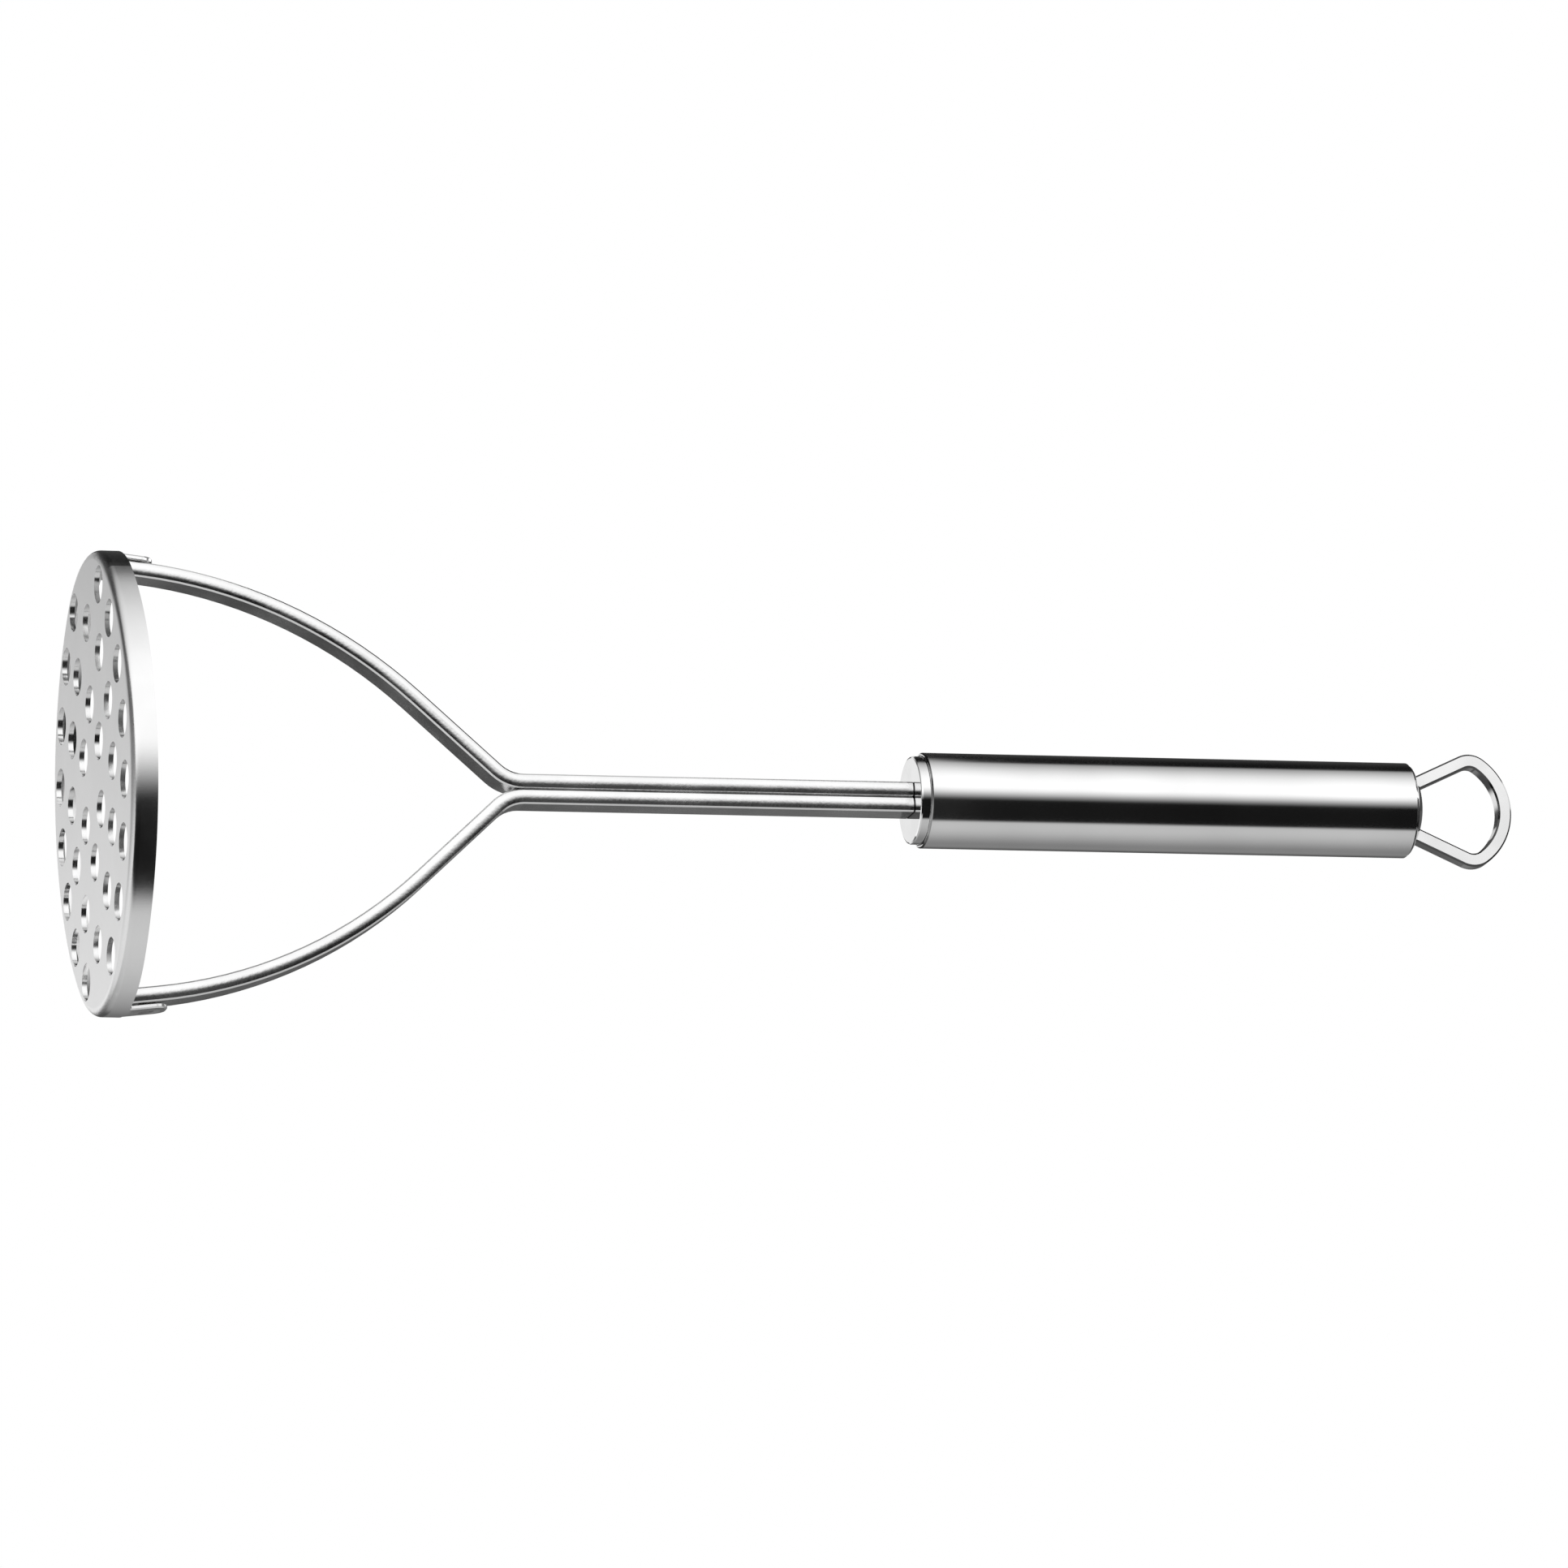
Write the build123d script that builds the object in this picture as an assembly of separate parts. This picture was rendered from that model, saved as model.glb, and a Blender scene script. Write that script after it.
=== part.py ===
from build123d import *
import math
import os

# A stainless steel potato masher, in millimetres. The origin is the centre of the
# mashing face, which lies in the plane z = 0. The handle stands on the Z axis, the
# two arms spread along X, and the width of their strips lies along Y.

# Mashing plate: an oval stamping of four tangent arcs with a turned-up rim
plate_length = 92.4
plate_width = 70.4
plate_end_radius = 26.4
sheet = 1.0
rim_height = 5.2
rim_bend_radius = 1.8

# Holes of the plate: places are shares of its half length and half width
hole_diameter = 7.5
outer_row_count = 8
outer_row_side_margin = 6.7
outer_row_end_share = (0.807, 0.316)
middle_row_count = 7
middle_row_side_share = 0.522
middle_row_end_share = 0.7
inner_end_share = 0.344
inner_pair_share = (0.148, 0.196)

# Ears of the plate, which lean in with the strips that are welded to them
ear_width = 6.0
ear_reach = 8.1
ear_lean = 6.3
ear_bend_radius = 5.0
ear_tip_radius = 2.6
ear_root_radius = 0.8
ear_edge_break = 0.25

# Spot welds between the ears and the strips
weld_above_rim = 4.5
weld_gap = 0.45
nugget_diameter = 3.6
dimple_diameter = 1.8
dimple_depth = 0.3
electrode_mark_diameter = 4.4
electrode_mark_depth = 0.12

# Strips: flat bars with slightly domed, eased long edges
strip_width = 7.0
strip_thickness = 3.05
strip_dome = 0.29
strip_edge_break = 0.3
strip_foot_gap = 3.0
knee_height = 41.9
fork_height = 83.1
fork_bend_radius = 6.5
arch_start_height = 11.1

# Handle tube and its two caps
handle_start = 167.7
handle_length = 100.7
handle_diameter = 19.0
handle_wall = 0.7
handle_front_break = 0.3
handle_bore_break = 0.2
handle_rear_break = 0.5
fit_clearance = 0.05

front_cap_proud = 2.0
front_cap_break = 0.4
front_cap_break_share = 0.3
front_cap_depth = 5.0
strip_tail = 11.5
strip_tail_step = 0.15
strip_shoulder_gap = 0.1

rear_cap_edge = 0.1
rear_cap_setback = 0.5
rear_cap_height = 2.7
rear_cap_depth = 2.5

# Hanging loop: a flat-faced bar bent in the arms' plane
loop_end = 290.0
loop_bar_thickness = 2.7
loop_bar_depth = 3.2
loop_bar_break = 0.35
loop_leg_slant = 24.8
loop_leg_spacing = 8.86
loop_corner_radius = 5.0
loop_far_radius = 13.0
loop_leg_tail = 1.3

# Weld beads inside the handle
arm_bead = 1.6
arm_bead_taper = 30.0
loop_bead = 1.0

# Past this length a cut runs clear of what it cuts
overrun = 5.0

# Sizes that follow from those above
half_length = plate_length / 2
half_width = plate_width / 2
shaft_axis = strip_thickness / 2
handle_end = handle_start + handle_length
bore_radius = handle_diameter / 2 - handle_wall
cap_radius = bore_radius - fit_clearance
cap_front = handle_start - front_cap_proud
front_cap_back = handle_start + front_cap_depth
rear_cap_back = handle_end - rear_cap_depth
weld_height = rim_height + weld_above_rim
shoulder_height = cap_front - strip_shoulder_gap
tail_end = handle_start + strip_tail


def oval(inset):
    """The plate's outline, drawn in by an inset, as a face."""
    length, width = half_length - inset, half_width - inset
    end_radius = plate_end_radius - inset
    end_centre = length - end_radius
    spread = end_centre**2 + width**2 - end_radius**2
    side_radius = spread / (2 * (width - end_radius))
    side_centre = side_radius - width
    reach = side_radius - end_radius
    join_x = end_centre + end_radius * end_centre / reach
    join_y = end_radius * side_centre / reach
    side = ThreePointArc((-join_x, join_y), (0, width), (join_x, join_y))
    end = ThreePointArc((join_x, join_y), (length, 0), (join_x, -join_y))
    other_side = ThreePointArc((join_x, -join_y), (0, -width), (-join_x, -join_y))
    other_end = ThreePointArc((-join_x, -join_y), (-length, 0), (-join_x, join_y))
    return make_face(side + end + other_side + other_end)


def row_places(apex, end_x, end_y, count):
    """Places spread evenly on the arc through (0, apex) and (+-end_x, end_y)."""
    rise = apex - end_y
    radius = (end_x**2 + rise**2) / (2 * rise)
    half_span = math.asin(end_x / radius)
    places = []
    for i in range(count):
        angle = half_span * (2 * i / (count - 1) - 1)
        places.append((radius * math.sin(angle), apex - radius * (1 - math.cos(angle))))
    return places


def hole_places():
    """Centres of the 34 holes: two rows on each side of the X axis and six inside."""
    outer = row_places(
        half_width - outer_row_side_margin,
        half_length * outer_row_end_share[0],
        half_width * outer_row_end_share[1],
        outer_row_count,
    )
    middle = row_places(
        half_width * middle_row_side_share,
        half_length * middle_row_end_share,
        0,
        middle_row_count,
    )
    pair_x = half_length * inner_pair_share[0]
    pair_y = half_width * inner_pair_share[1]
    inner = [(-pair_x, pair_y), (pair_x, pair_y)]
    one_side = outer + middle[1:-1] + inner
    other_side = [(x, -y) for x, y in one_side]
    inner_end = half_length * inner_end_share
    on_axis = [middle[0], middle[-1], (-inner_end, 0), (inner_end, 0)]
    return one_side + other_side + on_axis


def ear_outline():
    """An ear seen along X: a tongue with rounded corners and hollowed roots."""
    tongue = Pos(0, rim_height + ear_reach / 2) * Rectangle(ear_width, ear_reach)
    corners = [v for v in tongue.vertices() if v.Y > rim_height + ear_reach / 2]
    tongue = fillet(corners, ear_tip_radius)
    root_width = ear_width + 2 * ear_root_radius
    root = Pos(0, rim_height + ear_root_radius / 2) * Rectangle(root_width, ear_root_radius)
    for side in (-1, 1):
        place = Pos(side * root_width / 2, rim_height + ear_root_radius)
        root -= place * Circle(ear_root_radius)
    return Plane.YZ * (tongue + root)


def ear():
    """The ear at +X: rim sheet bent in by its lean and drawn up to its tip."""
    band = oval(0) - oval(sheet)
    window = Pos(half_length, 0) * Rectangle(2 * plate_end_radius, ear_width + 2 * ear_root_radius)
    plan = Pos(0, 0, rim_height) * (band & window)
    hinge_x = half_length - sheet - ear_bend_radius
    hinge = Axis((hinge_x, 0, rim_height), (0, -1, 0))
    bend = revolve(plan, hinge, ear_lean)
    lean = math.radians(ear_lean)
    leaning = plan.rotate(hinge, ear_lean)
    along = Vector(-math.sin(lean), 0, math.cos(lean))
    blank = bend + extrude(leaning, ear_reach, dir=along)
    tongue = blank & extrude(ear_outline(), plate_length)
    outlines = []
    for face in tongue.faces().sort_by(SortBy.AREA)[-2:]:
        outlines += face.edges().sort_by(Axis.Z)[1:]
    return chamfer(outlines, ear_edge_break)


def ear_line(height):
    """X of the ear's inner face at a height above its bend."""
    lean = math.radians(ear_lean)
    bend_x = half_length - sheet - ear_bend_radius * (1 - math.cos(lean))
    bend_z = rim_height + ear_bend_radius * math.sin(lean)
    return bend_x - (height - bend_z) * math.tan(lean)


def leaning_plane(depth, height):
    """A plane at a depth inside the ear's inner face, looking out through the ear."""
    lean = math.radians(ear_lean)
    origin = (ear_line(height) - depth * math.cos(lean), 0, height - depth * math.sin(lean))
    return Plane(origin, x_dir=(0, 1, 0), z_dir=(math.cos(lean), 0, math.sin(lean)))


def dimple(diameter, depth):
    """A ball whose cap has a diameter and a depth, sunk in the plane z = 0."""
    radius = (diameter**2 / 4 + depth**2) / (2 * depth)
    return Pos(0, 0, depth - radius) * Sphere(radius)


def mashing_plate():
    dish = extrude(oval(0), rim_height)
    dish = fillet(dish.faces().sort_by(Axis.Z)[0].edges(), rim_bend_radius)
    hollow = Pos(0, 0, sheet) * extrude(oval(sheet), rim_height)
    hollow = chamfer(hollow.faces().sort_by(Axis.Z)[0].edges(), rim_bend_radius - sheet)
    plate = dish - hollow
    right_ear = ear()
    mark = leaning_plane(-sheet, weld_height) * Rot(180, 0, 0)
    right_ear -= mark * dimple(electrode_mark_diameter, electrode_mark_depth)
    plate += [right_ear, mirror(right_ear, Plane.YZ)]
    punch = Pos(0, 0, -overrun) * extrude(Circle(hole_diameter / 2), sheet + 2 * overrun)
    plate -= [Pos(x, y) * punch for x, y in hole_places()]
    return plate


def strip_section(grow=0.0):
    """The strip's section: width along x, thickness along y, with domed, eased edges."""
    half_thick = strip_thickness / 2 + grow
    half_wide = strip_width / 2 + grow
    dome_edge = half_wide - strip_dome
    flat = dome_edge - strip_edge_break
    dome_half = half_thick - strip_edge_break
    right = ThreePointArc((dome_edge, -dome_half), (half_wide, 0), (dome_edge, dome_half))
    top = Polyline((dome_edge, dome_half), (flat, half_thick), (-flat, half_thick), (-dome_edge, dome_half))
    left = mirror(right, Plane.YZ)
    bottom = mirror(top, Plane.XZ)
    return make_face(right + top + left + bottom)


def strip_line_x(height):
    """X of the strip's middle line beside the ear, at a height."""
    lean = math.radians(ear_lean)
    return ear_line(height) - (weld_gap + strip_thickness / 2) / math.cos(lean)


def right_arm():
    """The strip at +X, from its foot in the rim to its shoulder, and its thinner tail."""
    shoulder = (shaft_axis, 0, shoulder_height)
    fork = (shaft_axis, 0, fork_height)
    knee = (strip_line_x(knee_height), 0, knee_height)
    start = (strip_line_x(arch_start_height), 0, arch_start_height)
    foot_height = sheet + strip_foot_gap
    foot = (strip_line_x(foot_height), 0, foot_height)
    down = Vector(*knee) - Vector(*fork)
    turn = math.atan2(down.X, -down.Z) - math.radians(ear_lean)
    arch_radius = (Vector(*knee) - Vector(*start)).length / math.tan(turn / 2)
    fork_radius = fork_bend_radius + strip_thickness / 2
    path = FilletPolyline(shoulder, fork, knee, foot, radius=[fork_radius, arch_radius])
    start_plane = Plane(path @ 0, x_dir=(0, 1, 0), z_dir=path % 0)
    strip = sweep(start_plane * strip_section(), path)
    tail_place = Pos(*shoulder) * Rot(0, 0, 90)
    strip += tail_place * extrude(strip_section(-strip_tail_step), tail_end - shoulder_height)
    dent = leaning_plane(weld_gap + strip_thickness, weld_height)
    strip -= dent * dimple(dimple_diameter, dimple_depth)
    return strip


def left_arm():
    return mirror(right_arm(), Plane.YZ)


def spot_welds():
    """Two flat nuggets, each between an ear and its strip."""
    bow = nugget_diameter**2 / (8 * (plate_end_radius - sheet))
    thick = weld_gap - bow - 2 * fit_clearance
    place = leaning_plane(weld_gap - fit_clearance, weld_height)
    nugget = place * extrude(Circle(nugget_diameter / 2), thick)
    return Compound([nugget, mirror(nugget, Plane.YZ)])


def handle_tube():
    outer = Cylinder(handle_diameter / 2, handle_length, align=(Align.CENTER, Align.CENTER, Align.MIN))
    front = outer.edges().sort_by(Axis.Z)[0]
    outer = chamfer(front, handle_front_break)
    rear = outer.edges().sort_by(Axis.Z)[-1]
    outer = chamfer(rear, handle_rear_break)
    tube = outer - Pos(0, 0, -overrun) * Cylinder(
        bore_radius, handle_length + 2 * overrun, align=(Align.CENTER, Align.CENTER, Align.MIN)
    )
    mouth = Cone(
        bore_radius + handle_bore_break,
        bore_radius,
        handle_bore_break,
        align=(Align.CENTER, Align.CENTER, Align.MIN),
    )
    return Pos(0, 0, handle_start) * (tube - mouth)


def tail_slot(low, high):
    """The room that the two tails need side by side, from one height to another."""
    pair = Sketch()
    for side in (-1, 1):
        tail = Rot(0, 0, 90) * strip_section(fit_clearance - strip_tail_step)
        pair += Pos(side * shaft_axis, 0) * tail
    return Pos(0, 0, low) * extrude(pair, high - low)


def front_cap():
    """A flat plug with an eased edge, proud of the tube, which the strips go through."""
    ease = front_cap_break * front_cap_break_share
    outline = Polyline(
        (0, 0, cap_front),
        (cap_radius - front_cap_break, 0, cap_front),
        (cap_radius - ease, 0, cap_front + ease),
        (cap_radius, 0, cap_front + front_cap_break),
        (cap_radius, 0, front_cap_back),
        (0, 0, front_cap_back),
        close=True,
    )
    plug = revolve(make_face(outline), Axis.Z)
    return plug - tail_slot(cap_front - overrun, front_cap_back + overrun)


def arm_weld():
    """The bead round both tails on the back of the front cap."""
    wide = 4 * shaft_axis + 2 * arm_bead
    deep = strip_width + 2 * arm_bead
    foot = Pos(0, 0, front_cap_back) * Rectangle(wide, deep)
    bead = extrude(foot, arm_bead, taper=arm_bead_taper)
    bead &= Pos(0, 0, front_cap_back) * extrude(Circle(cap_radius), arm_bead)
    return bead - tail_slot(front_cap_back - overrun, tail_end + overrun)


def leg_direction():
    slant = math.radians(loop_leg_slant)
    return Vector(math.sin(slant), 0, math.cos(slant))


def leg_section(grow=0.0):
    """The loop bar's section: depth along x, thickness along y, with eased edges."""
    bar = Rectangle(loop_bar_depth + 2 * grow, loop_bar_thickness + 2 * grow)
    return chamfer(bar.vertices(), loop_bar_break)


def leg_start():
    """The right leg's end, on its middle line, below the back of the rear cap."""
    leave = Vector(loop_leg_spacing / 2, 0, handle_end)
    down = rear_cap_depth / leg_direction().Z + loop_leg_tail
    return leave - leg_direction() * down


def leg_prism(grow, length):
    """The right leg, grown, running straight up from its end."""
    start = Plane(leg_start(), x_dir=(0, 1, 0), z_dir=leg_direction())
    return extrude(start * leg_section(grow), length)


def half_loop_path():
    """Middle line of the right half: a leg, a corner and half the far arc, all tangent."""
    half_bar = loop_bar_thickness / 2
    corner_radius = loop_corner_radius - half_bar
    far_radius = loop_far_radius - half_bar
    far_centre = Vector(0, 0, loop_end - loop_far_radius)
    along = leg_direction()
    outward = Vector(along.Z, 0, -along.X)
    start = leg_start()
    offset = start - outward * corner_radius - far_centre
    back = offset.dot(along)
    run = math.sqrt(back**2 - offset.length**2 + (far_radius - corner_radius) ** 2) - back
    leg_top = start + along * run
    corner_centre = leg_top - outward * corner_radius
    far_way = (corner_centre - far_centre).normalized()
    corner_end = far_centre + far_way * far_radius
    corner_middle = corner_centre + (outward + far_way).normalized() * corner_radius
    top_way = Vector(0, 0, 1)
    far_middle = far_centre + (far_way + top_way).normalized() * far_radius
    leg = Line(start, leg_top)
    corner = ThreePointArc(leg_top, corner_middle, corner_end)
    far = ThreePointArc(corner_end, far_middle, far_centre + top_way * far_radius)
    return leg + corner + far


def hanging_loop():
    path = half_loop_path()
    start = Plane(path @ 0, x_dir=(0, 1, 0), z_dir=path % 0)
    half = sweep(start * leg_section(), path)
    return half + mirror(half, Plane.YZ)


def rear_cap():
    """A shallow dome on the tube's end, with two slanted holes for the loop's legs."""
    rim = handle_diameter / 2 - rear_cap_setback
    base = handle_end + rear_cap_edge
    rise = rear_cap_height - rear_cap_edge
    dome_radius = (rim**2 + rise**2) / (2 * rise)
    middle = rim / 2
    middle_rise = rise - dome_radius + math.sqrt(dome_radius**2 - middle**2)
    dome = ThreePointArc((0, 0, base + rise), (middle, 0, base + middle_rise), (rim, 0, base))
    body = Polyline(
        (rim, 0, base),
        (rim, 0, handle_end),
        (cap_radius, 0, handle_end),
        (cap_radius, 0, rear_cap_back),
        (0, 0, rear_cap_back),
        (0, 0, base + rise),
    )
    cap = revolve(make_face(dome + body), Axis.Z)
    hole = leg_prism(fit_clearance, loop_leg_tail + rear_cap_depth + rear_cap_height + overrun)
    return cap - [hole, mirror(hole, Plane.YZ)]


def loop_welds():
    """Two beads, each round a leg where it comes through the back of the rear cap."""
    along = leg_direction()
    wide = loop_bar_thickness / along.Z + 2 * loop_bead
    deep = loop_bar_depth + 2 * loop_bead
    down = rear_cap_depth / along.Z
    place = Vector(loop_leg_spacing / 2, 0, handle_end) - along * down
    foot = Pos(*place) * Rectangle(wide, deep)
    bead = extrude(foot, loop_bead, dir=-along)
    bead -= leg_prism(fit_clearance, loop_leg_tail + overrun)
    far_side = Box(wide, deep, overrun, align=(Align.MAX, Align.CENTER, Align.CENTER))
    bead -= Pos(fit_clearance, 0, rear_cap_back) * far_side
    return Compound([bead, mirror(bead, Plane.YZ)])


PARTS = {
    "mashing_plate": mashing_plate,
    "right_arm": right_arm,
    "left_arm": left_arm,
    "spot_welds": spot_welds,
    "handle_tube": handle_tube,
    "front_cap": front_cap,
    "arm_weld": arm_weld,
    "rear_cap": rear_cap,
    "hanging_loop": hanging_loop,
    "loop_welds": loop_welds,
}

os.makedirs("parts", exist_ok=True)
for name, make in PARTS.items():
    shape = make()
    export_step(shape, f"parts/{name}.step")
    print(name, round(shape.volume, 1), len(shape.solids()))
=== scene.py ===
import math

import bpy
from mathutils import Matrix, Vector

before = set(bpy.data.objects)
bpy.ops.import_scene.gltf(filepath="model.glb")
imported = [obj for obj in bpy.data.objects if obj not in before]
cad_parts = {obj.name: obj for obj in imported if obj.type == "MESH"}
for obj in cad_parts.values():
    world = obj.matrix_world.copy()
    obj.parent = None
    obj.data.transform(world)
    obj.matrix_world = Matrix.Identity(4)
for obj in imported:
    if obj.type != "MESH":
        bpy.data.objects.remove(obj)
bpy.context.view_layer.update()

MM = 0.001
MICRON = 1e-6


# Arithmetic and nodes of the finishes
class Value:
    """A socket's value, with which arithmetic adds the Math nodes of its tree."""

    def __init__(self, tree, socket):
        self.tree = tree
        self.socket = socket

    def math(self, operation, *others):
        operands = dict(enumerate((self, *others)))
        return node(self.tree, "ShaderNodeMath", {"operation": operation}, operands)

    def __add__(self, other):
        return self.math("ADD", other)

    def __mul__(self, other):
        return self.math("MULTIPLY", other)

    def __sub__(self, other):
        return self.math("SUBTRACT", other)

    def __rsub__(self, other):
        return self.math("MULTIPLY", -1) + other

    def __truediv__(self, other):
        return self.math("DIVIDE", other)

    __radd__ = __add__
    __rmul__ = __mul__

    def between(self, low, high):
        """0 below low, 1 above high, with a soft step between."""
        settings = {"interpolation_type": "SMOOTHSTEP"}
        return node(self.tree, "ShaderNodeMapRange", settings, {0: self, 1: low, 2: high})

    def toward(self, other, share):
        """This value where the share is 0, the other where it is 1."""
        return self + (other - self) * share


def node(tree, kind, settings=(), inputs=(), output=0):
    """Adds a node: its settings first, then its sockets' values or links."""
    made = tree.nodes.new(kind)
    for key, setting in dict(settings).items():
        setattr(made, key, setting)
    for key, given in dict(inputs).items():
        if isinstance(given, Value):
            tree.links.new(given.socket, made.inputs[key])
        else:
            made.inputs[key].default_value = given
    if made.outputs:
        return Value(tree, made.outputs[output])


def new_finish(name):
    finish = bpy.data.materials.new(name)
    finish.use_nodes = True
    finish.node_tree.nodes.clear()
    return finish, finish.node_tree


def close_finish(tree, shader):
    node(tree, "ShaderNodeOutputMaterial", {}, {"Surface": shader})


def glow(tree, level):
    return node(tree, "ShaderNodeEmission", {}, {"Color": level, "Strength": 1.0})


def object_place(tree):
    return node(tree, "ShaderNodeTexCoord", output="Object")


def along_axis(tree, vector, axis):
    return node(tree, "ShaderNodeSeparateXYZ", {}, {0: vector}, axis)


def steepness(tree, axis):
    """How squarely a surface faces along an axis, from 0 to 1."""
    facing = node(tree, "ShaderNodeTexCoord", output="Normal")
    return along_axis(tree, facing, axis).math("ABSOLUTE")


def blend(tree, share, low, high):
    return node(tree, "ShaderNodeMix", {"data_type": "RGBA"}, {0: share, 6: low, 7: high}, 2)


def grain(tree, place, size_mm, detail):
    """Noise whose features have a size in millimetres."""
    inputs = {"Vector": place, "Scale": 1 / (size_mm * MM), "Detail": detail}
    return node(tree, "ShaderNodeTexNoise", {}, inputs)


def grey(level):
    return (level, level, level, 1)


def shade_of(tint, factor):
    return tuple(min(1.0, c * factor) for c in tint) + (1,)


# Finishes of the steel
NOISE_MEAN = 0.5
STEEL_GRAIN_DETAIL = 3.0
SMEAR_EDGES = (0.3, 0.7)
DULL_TONE, BRIGHT_TONE = 0.94, 1.04
SIDE_TILT = (0.35, 0.95)
SEAM_HALF_MM, SEAM_SOFT_MM, SEAM_DEPTH, SEAM_TONE = 0.2, 0.05, 0.9, grey(0.03)
# Painted edge shade: between these steepnesses an eased edge gets its darker colour
EDGE_SHADE_FROM, EDGE_SHADE_TO = (0.5, 0.6), (0.8, 0.9)


def with_side_polish(tree, flat_rough, side_rough):
    """The faces that look along Z have one roughness, the walls and bends another."""
    return steepness(tree, "Z").between(*SIDE_TILT) * (flat_rough - side_rough) + side_rough


def with_seam(tree, tone, place, seam_mm):
    """A dark line goes round the piece at a height."""
    height = along_axis(tree, place, "Z") / MM
    low, high = seam_mm - SEAM_HALF_MM, seam_mm + SEAM_HALF_MM
    above = height.between(low - SEAM_SOFT_MM, low + SEAM_SOFT_MM)
    below = 1 - height.between(high - SEAM_SOFT_MM, high + SEAM_SOFT_MM)
    return blend(tree, above * below * SEAM_DEPTH, tone, SEAM_TONE)


def with_painted_edge_shade(tree, tone, tint, edge_shade):
    """Painted shade: the eased edges, which stand aslant to an axis, are painted darker than the
    faces.
    """
    axis, factor = edge_shade
    tilt = steepness(tree, axis)
    slanted = tilt.between(*EDGE_SHADE_FROM) * (1 - tilt.between(*EDGE_SHADE_TO))
    return blend(tree, slanted, tone, shade_of(tint, factor))


def steel(
    name, tint, rough, spread, grain_mm, depth_um, smear_mm, side_rough=None, seam_mm=None, edge_shade=None
):
    """Bare stainless steel: a fine grain in relief and slow changes of polish and tone."""
    finish, tree = new_finish(name)
    place = object_place(tree)
    fine = grain(tree, place, grain_mm, STEEL_GRAIN_DETAIL)
    polish = grain(tree, place, smear_mm, STEEL_GRAIN_DETAIL).between(*SMEAR_EDGES)
    tone = blend(tree, polish, shade_of(tint, DULL_TONE), shade_of(tint, BRIGHT_TONE))
    if side_rough is not None:
        rough = with_side_polish(tree, rough, side_rough)
    if seam_mm is not None:
        tone = with_seam(tree, tone, place, seam_mm)
    # Painted shade: the eased edges get a darker colour than the faces
    if edge_shade is not None:
        tone = with_painted_edge_shade(tree, tone, tint, edge_shade)
    relief = {"Height": fine, "Distance": depth_um * MICRON, "Strength": 1.0}
    surface = {
        "Base Color": tone,
        "Metallic": 1.0,
        "Roughness": (polish - NOISE_MEAN) * spread + rough + (fine - NOISE_MEAN) * spread,
        "Normal": node(tree, "ShaderNodeBump", {}, relief),
    }
    close_finish(tree, node(tree, "ShaderNodeBsdfPrincipled", {}, surface))
    return finish


BRIGHT_STEEL, PLAIN_STEEL, DIM_STEEL = (0.82,) * 3, (0.80,) * 3, (0.78,) * 3
WELD_STEEL = (0.45, 0.44, 0.42)
# Painted shade on the eased edges of the tube and the loop: the axis and the darkening factor
TUBE_EDGE_SHADE, LOOP_EDGE_SHADE = ("Z", 0.35), ("Y", 0.12)
cap_face_mm = min(v.co.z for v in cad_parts["front_cap"].data.vertices) / MM

sheet_steel = steel(
    "satin_sheet_steel", PLAIN_STEEL,
    rough=0.35, spread=0.08, grain_mm=0.25, depth_um=3.0, smear_mm=18, side_rough=0.16,
)
strip_steel = steel(
    "tumbled_strip_steel", PLAIN_STEEL,
    rough=0.22, spread=0.10, grain_mm=0.6, depth_um=26.0, smear_mm=14, seam_mm=cap_face_mm,
)
tube_steel = steel(
    "polished_tube_steel", BRIGHT_STEEL,
    rough=0.11, spread=0.03, grain_mm=0.5, depth_um=0.4, smear_mm=30, edge_shade=TUBE_EDGE_SHADE,
)
cap_steel = steel(
    "polished_cap_steel", PLAIN_STEEL,
    rough=0.07, spread=0.03, grain_mm=0.3, depth_um=0.3, smear_mm=8,
)
loop_steel = steel(
    "polished_loop_steel", DIM_STEEL,
    rough=0.09, spread=0.03, grain_mm=0.6, depth_um=0.3, smear_mm=9, edge_shade=LOOP_EDGE_SHADE,
)
weld_steel = steel(
    "bare_weld_metal", WELD_STEEL,
    rough=0.45, spread=0.2, grain_mm=0.6, depth_um=25.0, smear_mm=2,
)

FINISHES = {
    "mashing_plate": sheet_steel,
    "right_arm": strip_steel,
    "left_arm": strip_steel,
    "spot_welds": weld_steel,
    "handle_tube": tube_steel,
    "front_cap": cap_steel,
    "arm_weld": weld_steel,
    "rear_cap": cap_steel,
    "hanging_loop": loop_steel,
    "loop_welds": weld_steel,
}
for name, finish in FINISHES.items():
    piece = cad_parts[name]
    piece.data.materials.clear()
    piece.data.materials.append(finish)

# Camera: the handle points away to the right, and the mashing face shows at the left
TURN, LEAN, ROLL = (math.radians(a) for a in (14.95, 14.13, 1.21))
FOCAL_PX, FRAME_PX, SCALE_PX_PER_MM = 20000, 1932, 6.308
ORIGIN_PX = (113.6, 965.2)
SENSOR_MM = 36
CLIP_NEAR, CLIP_FAR = 0.05, 20

along = Vector((0, 0, 1))
upwards = Vector((math.cos(LEAN), math.sin(LEAN), 0))
across = Vector((-math.sin(LEAN), math.cos(LEAN), 0))
level_right = along * math.cos(TURN) + across * math.sin(TURN)
backward = across * math.cos(TURN) - along * math.sin(TURN)
right = level_right * math.cos(ROLL) + upwards * math.sin(ROLL)
up = upwards * math.cos(ROLL) - level_right * math.sin(ROLL)
distance = FOCAL_PX / SCALE_PX_PER_MM * MM
shift_right = (ORIGIN_PX[0] - FRAME_PX / 2) / SCALE_PX_PER_MM * MM
shift_up = (FRAME_PX / 2 - ORIGIN_PX[1]) / SCALE_PX_PER_MM * MM

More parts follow.
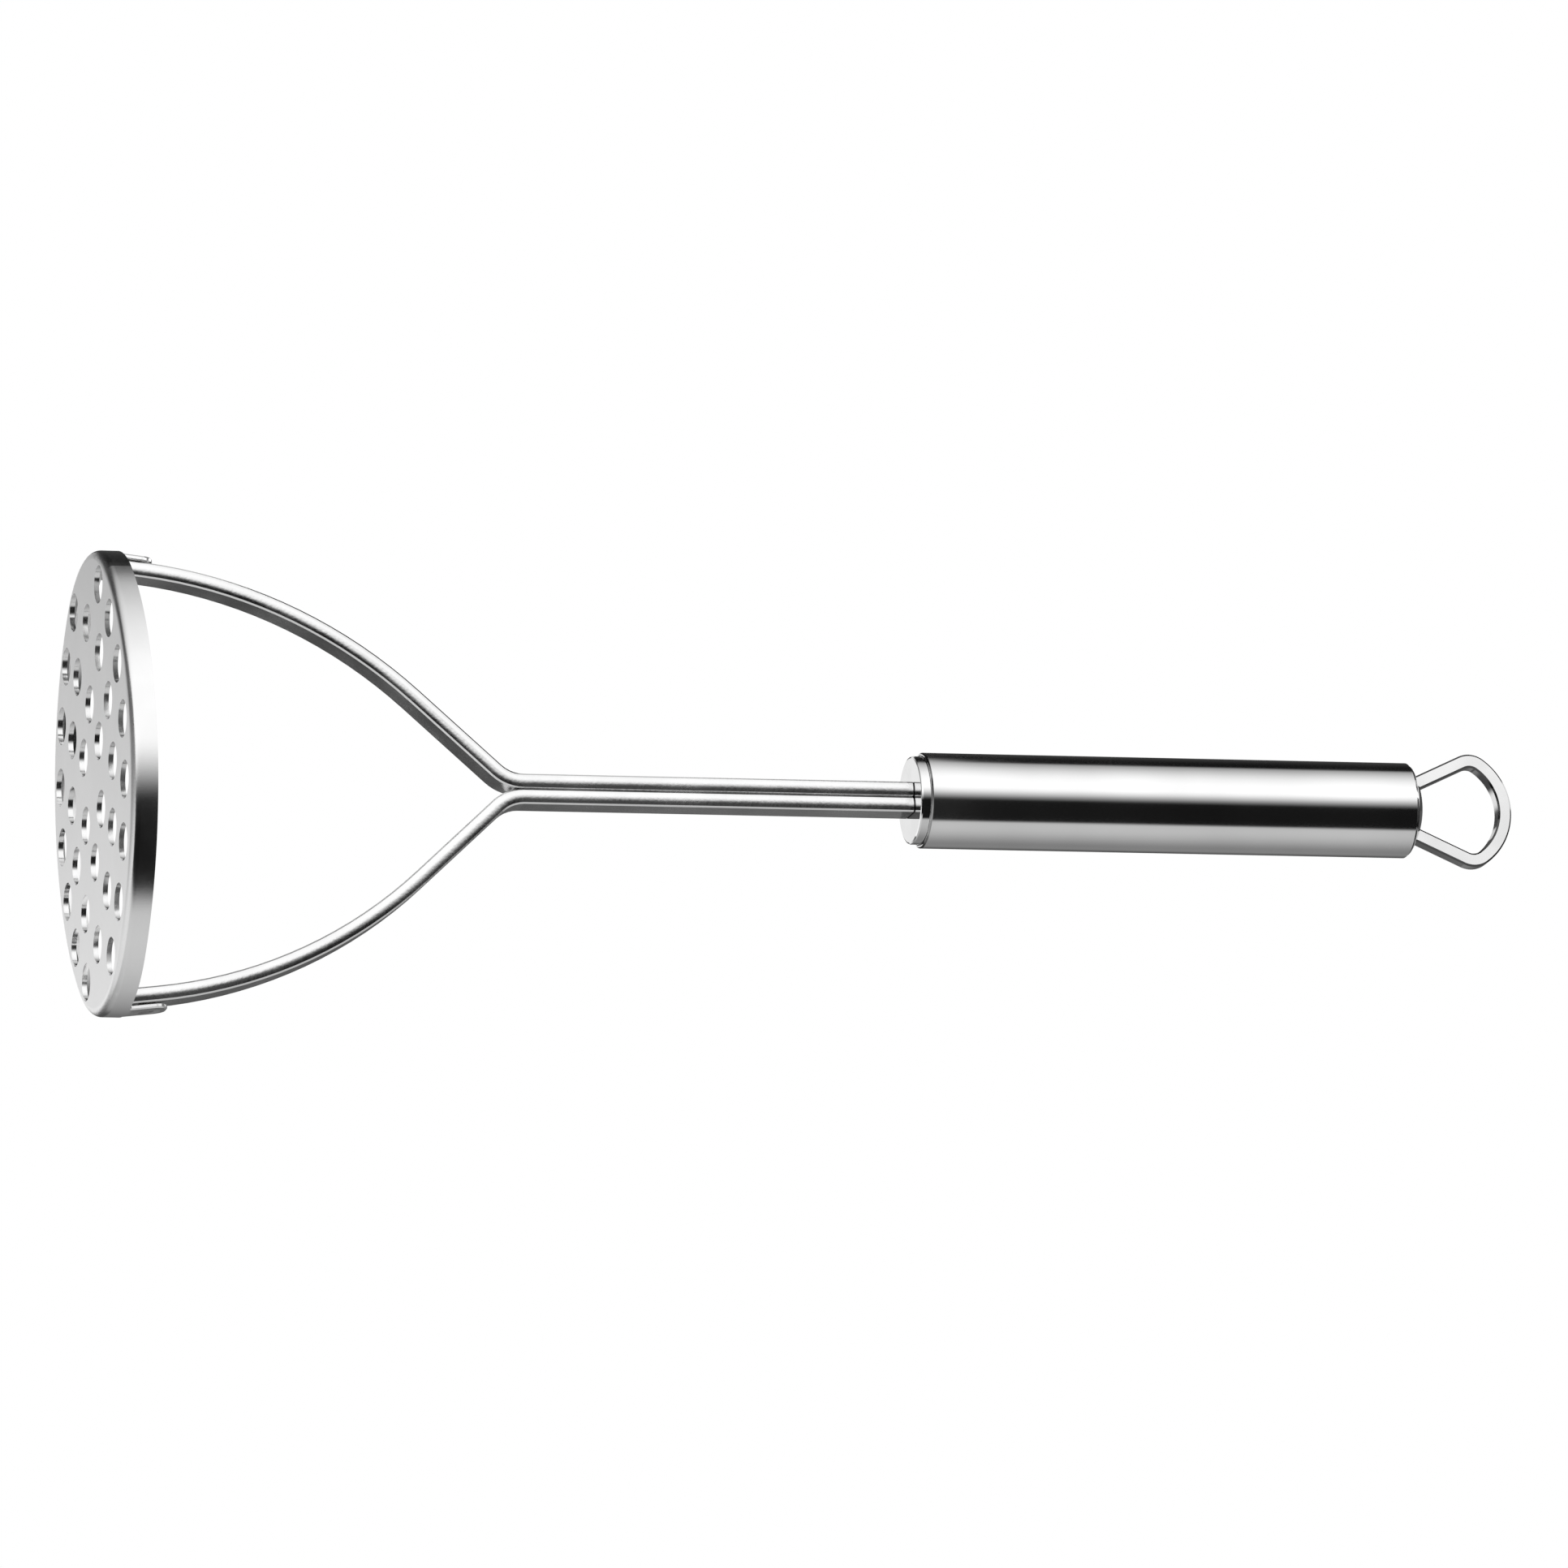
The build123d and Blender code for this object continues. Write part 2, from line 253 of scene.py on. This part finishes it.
camera_data = bpy.data.cameras.new("photo_camera")
camera_data.sensor_width = SENSOR_MM
camera_data.lens = SENSOR_MM * FOCAL_PX / FRAME_PX
camera_data.clip_start = CLIP_NEAR
camera_data.clip_end = CLIP_FAR
camera = bpy.data.objects.new("photo_camera", camera_data)
bpy.context.scene.collection.objects.link(camera)
turned = Matrix((right, up, backward)).transposed().to_4x4()
stand = backward * distance - right * shift_right - up * shift_up
camera.matrix_world = Matrix.Translation(stand) @ turned
bpy.context.scene.camera = camera


# Stage pieces
def add_mesh(name, points, faces, finish):
    mesh = bpy.data.meshes.new(name)
    mesh.from_pydata(points, [], faces)
    mesh.materials.append(finish)
    made = bpy.data.objects.new(name, mesh)
    bpy.context.scene.collection.objects.link(made)
    return made


def add_card(name, points, faces, finish):
    """A piece of the stage that only reflections see."""
    card = add_mesh(name, points, faces, finish)
    for ray in ("camera", "diffuse", "shadow", "transmission"):
        setattr(card, f"visible_{ray}", False)


# Light screen: a round wall about the object. Its light changes with the heading, in
# degrees from the camera's, positive towards the picture's top, and with the height.
# The rim mirrors the low part of the wall, the strips and the handle the high part.
# A rise, fall or cut has the two headings between which it happens, and each of the
# falls of a grey side has them with its drop.
HALF_TURN, FULL_TURN = 180, 360
BLACK, REAR_GREY, REAR_FROM = 0.008, 0.06, (118, 180)
HIGH_BOX = {"peak": 1.27, "rise": (2, 37), "fall": (48, 140), "cut": (104, 114)}
LOW_BOX = {"peak": 1.28, "rise": (1, 30), "fall": (50, 160), "cut": (108, 126)}
HIGH_GREY = {"peak": 0.60, "rise": (43, 52), "falls": (((60, 125), 0.35), ((138, 158), 0.15))}
LOW_GREY = {"peak": 0.70, "rise": (32, 46), "falls": (((60, 180), 0.60),)}
LOW_END, HIGH_START = 0.206, 0.222

# The strips mirror the foot of the high part. Each change made there for them fades
# out between two heights.
DRAWN_IN, DRAWN_HEIGHTS = 0.39, (0.20, 0.32)
SPREAD_OUT, SPREAD_HEIGHTS = 0.15, (0.36, 0.39)
STRIP_TOP = (0.345, 0.362)
STRIP_DARKEST, STRIP_OUTLINE, OUTLINE_FROM = 0.08, 0.60, (90, 112)

# Patches: one dims the arms' inner faces, one lights the plate's bend, one the front cap
ARM_SHADE, ARM_HEADINGS, ARM_HEIGHTS = 0.07, (-144, -133), (0.10, 0.17)
UNDER_LEVEL, UNDER_HEADINGS, UNDER_HEIGHTS = 0.9, (-58, -32), (-0.55, -0.40)
BACK_LEVEL, BACK_HEADINGS, BACK_HEIGHTS = 0.95, (158, 166), (0.0, 0.05)

SCREEN_RADIUS, SCREEN_LOW, SCREEN_HIGH, SCREEN_SIDES = 0.75, -1.0, 1.3, 96
FOOT_MIDDLE, FOOT_FALL, FOOT_DARKEST = 0.45, 1.6, 0.12
ROOF_LEVEL = 0.12


def box_light(heading, peak, rise, fall, cut):
    """A bright box on the picture's upper side: it fades slowly and then ends."""
    shown = heading.between(*rise) * (1 - heading.between(*cut))
    return shown * (1 - heading.between(*fall)) * peak


def grey_light(heading, peak, rise, falls):
    """A grey wall on the picture's lower side, which darkens in steps."""
    away = heading * -1
    level = peak
    for step, drop in falls:
        level = level - away.between(*step) * drop
    return away.between(*rise) * level


def wall_light(heading, box, grey_side):
    rear = heading.math("ABSOLUTE").between(*REAR_FROM) * REAR_GREY + BLACK
    return (box_light(heading, **box) + grey_light(heading, **grey_side)).math("MAXIMUM", rear)


def heading_of(x, y):
    """How far round from the camera's side a place on the wall lies, from -180 to 180."""
    ahead = math.atan2(backward.y, backward.x)
    turns = (ahead - y.math("ARCTAN2", x)) / math.tau
    return (turns + 0.5).math("FRACT") * FULL_TURN - HALF_TURN


def strip_heading(heading, height):
    """The heading as the strips need it: closer on the lower side, wider on the upper."""
    drawn = 1 - height.between(*DRAWN_HEIGHTS)
    spread = 1 - height.between(*SPREAD_HEIGHTS)
    lower = heading.math("MINIMUM", 0.0) * drawn * DRAWN_IN
    upper = heading.math("MAXIMUM", 0.0) * spread * SPREAD_OUT
    return heading + lower - upper


def patch(level, side, height, heights, shade):
    """A plain shade on one side of the wall, up to a height."""
    return level.toward(shade, side * (1 - height.between(*heights)))


def wall_paint():
    finish, tree = new_finish("light_screen")
    place = object_place(tree)
    x, y, height = (along_axis(tree, place, axis) for axis in "XYZ")
    heading = heading_of(x, y)
    low_wall = wall_light(heading, LOW_BOX, LOW_GREY)
    high_wall = wall_light(strip_heading(heading, height), HIGH_BOX, HIGH_GREY)
    high = height.between(LOW_END, HIGH_START)
    on_strips = high * (1 - height.between(*STRIP_TOP))
    outline = heading.between(*OUTLINE_FROM) * STRIP_OUTLINE + STRIP_DARKEST
    level = low_wall.toward(high_wall, high).math("MAXIMUM", on_strips * outline)
    behind_arms = 1 - heading.between(*ARM_HEADINGS)
    level = patch(level, behind_arms, height, ARM_HEIGHTS, ARM_SHADE)
    under_plate = 1 - heading.between(*UNDER_HEADINGS)
    level = patch(level, under_plate, height, UNDER_HEIGHTS, UNDER_LEVEL)
    at_back = heading.math("ABSOLUTE").between(*BACK_HEADINGS)
    level = patch(level, at_back, height, BACK_HEIGHTS, BACK_LEVEL)
    close_finish(tree, glow(tree, level))
    return finish


def foot_paint():
    """The foot darkens towards +X, from the level under the plate to its own darkest."""
    finish, tree = new_finish("screen_foot")
    level = FOOT_MIDDLE - along_axis(tree, object_place(tree), "X") * FOOT_FALL
    level = level.math("MAXIMUM", FOOT_DARKEST).math("MINIMUM", UNDER_LEVEL)
    close_finish(tree, glow(tree, level))
    return finish


def roof_paint():
    finish, tree = new_finish("screen_roof")
    close_finish(tree, glow(tree, grey(ROOF_LEVEL)))
    return finish


steps = [math.tau * i / SCREEN_SIDES for i in range(SCREEN_SIDES)]
ring = [(SCREEN_RADIUS * math.cos(a), SCREEN_RADIUS * math.sin(a)) for a in steps]
foot_ring, roof_ring = ([(x, y, z) for x, y in ring] for z in (SCREEN_LOW, SCREEN_HIGH))
walls = [
    (i, (i + 1) % SCREEN_SIDES, SCREEN_SIDES + (i + 1) % SCREEN_SIDES, SCREEN_SIDES + i)
    for i in range(SCREEN_SIDES)
]
lid = [tuple(range(SCREEN_SIDES))]
add_card("light_screen", foot_ring + roof_ring, walls, wall_paint())
add_card("screen_foot", foot_ring, lid, foot_paint())
add_card("screen_roof", roof_ring, lid, roof_paint())

# Face card: it stands behind the mashing face, which mirrors it, and darkens towards +X
CARD_AWAY, CARD_HALF_WIDE, CARD_TOP, CARD_FOOT = 0.26, 0.13, -0.030, -0.32
CARD_MIDDLE_LEVEL, CARD_FALL = 0.755, 4.1

card_middle, card_side = -across * CARD_AWAY, upwards * CARD_HALF_WIDE


def card_paint():
    finish, tree = new_finish("face_card")
    run = along_axis(tree, object_place(tree), "X")
    level = (card_middle.x - run) * CARD_FALL + CARD_MIDDLE_LEVEL
    close_finish(tree, glow(tree, level.math("MAXIMUM", 0.0)))
    return finish


edges = [card_middle - card_side, card_middle + card_side]
points = [(p.x, p.y, z) for z in (CARD_FOOT, CARD_TOP) for p in edges]
add_card("face_card", points, [(0, 1, 3, 2)], card_paint())

# Floor: white, and seen from above only, so that the camera can look at the mashing face
FLOOR_HALF, FLOOR_DROP = 6.0, 0.0002
FLOOR_MOTTLE_MM, FLOOR_MOTTLE_DETAIL = 60, 2.0
FLOOR_TONES = (grey(0.86), grey(0.9))
SQUARE = ((-1, -1), (1, -1), (1, 1), (-1, 1))


def floor_paint():
    finish, tree = new_finish("white_floor")
    seen = node(tree, "ShaderNodeLightPath", output="Is Camera Ray")
    from_below = node(tree, "ShaderNodeNewGeometry", output="Backfacing")
    mottle = grain(tree, object_place(tree), FLOOR_MOTTLE_MM, FLOOR_MOTTLE_DETAIL)
    clear = node(tree, "ShaderNodeBsdfTransparent")
    matt = node(tree, "ShaderNodeBsdfDiffuse", {}, {"Color": blend(tree, mottle, *FLOOR_TONES)})
    cover = {0: seen * (1 - from_below), 1: clear, 2: matt}
    close_finish(tree, node(tree, "ShaderNodeMixShader", {}, cover))
    return finish


corners = [(x * FLOOR_HALF, y * FLOOR_HALF, -FLOOR_DROP) for x, y in SQUARE]
add_mesh("floor", corners, [(0, 1, 2, 3)], floor_paint())

# World: white wherever it is looked at, a little less as a light
WORLD_WHITE, WORLD_LIGHT = grey(1), grey(0.97)

world = bpy.data.worlds.new("studio")
bpy.context.scene.world = world
world.use_nodes = True
tree = world.node_tree
tree.nodes.clear()
by_camera, by_gloss, by_glass = (
    node(tree, "ShaderNodeLightPath", output=f"Is {kind} Ray")
    for kind in ("Camera", "Glossy", "Transmission")
)
looked_at = (by_camera + by_gloss + by_glass).math("MINIMUM", 1)
backdrop = blend(tree, looked_at, WORLD_LIGHT, WORLD_WHITE)
sky = node(tree, "ShaderNodeBackground", {}, {"Color": backdrop, "Strength": 1.0})
node(tree, "ShaderNodeOutputWorld", {}, {"Surface": sky})

# Lamp: it gives the object its shadow on the floor
LAMP_PLACE, LAMP_SIZE, LAMP_WATTS = (0.35, -0.25, 1.3), 0.6, 3.5

lamp_data = bpy.data.lights.new("overhead_softbox", "AREA")
lamp_data.shape = "DISK"
lamp_data.size = LAMP_SIZE
lamp_data.energy = LAMP_WATTS
lamp = bpy.data.objects.new("overhead_softbox", lamp_data)
bpy.context.scene.collection.objects.link(lamp)
lamp.location = LAMP_PLACE
lamp.rotation_mode = "QUATERNION"
lamp.rotation_quaternion = (-lamp.location).to_track_quat("-Z", "Y")

bpy.context.scene.view_settings.view_transform = "Standard"
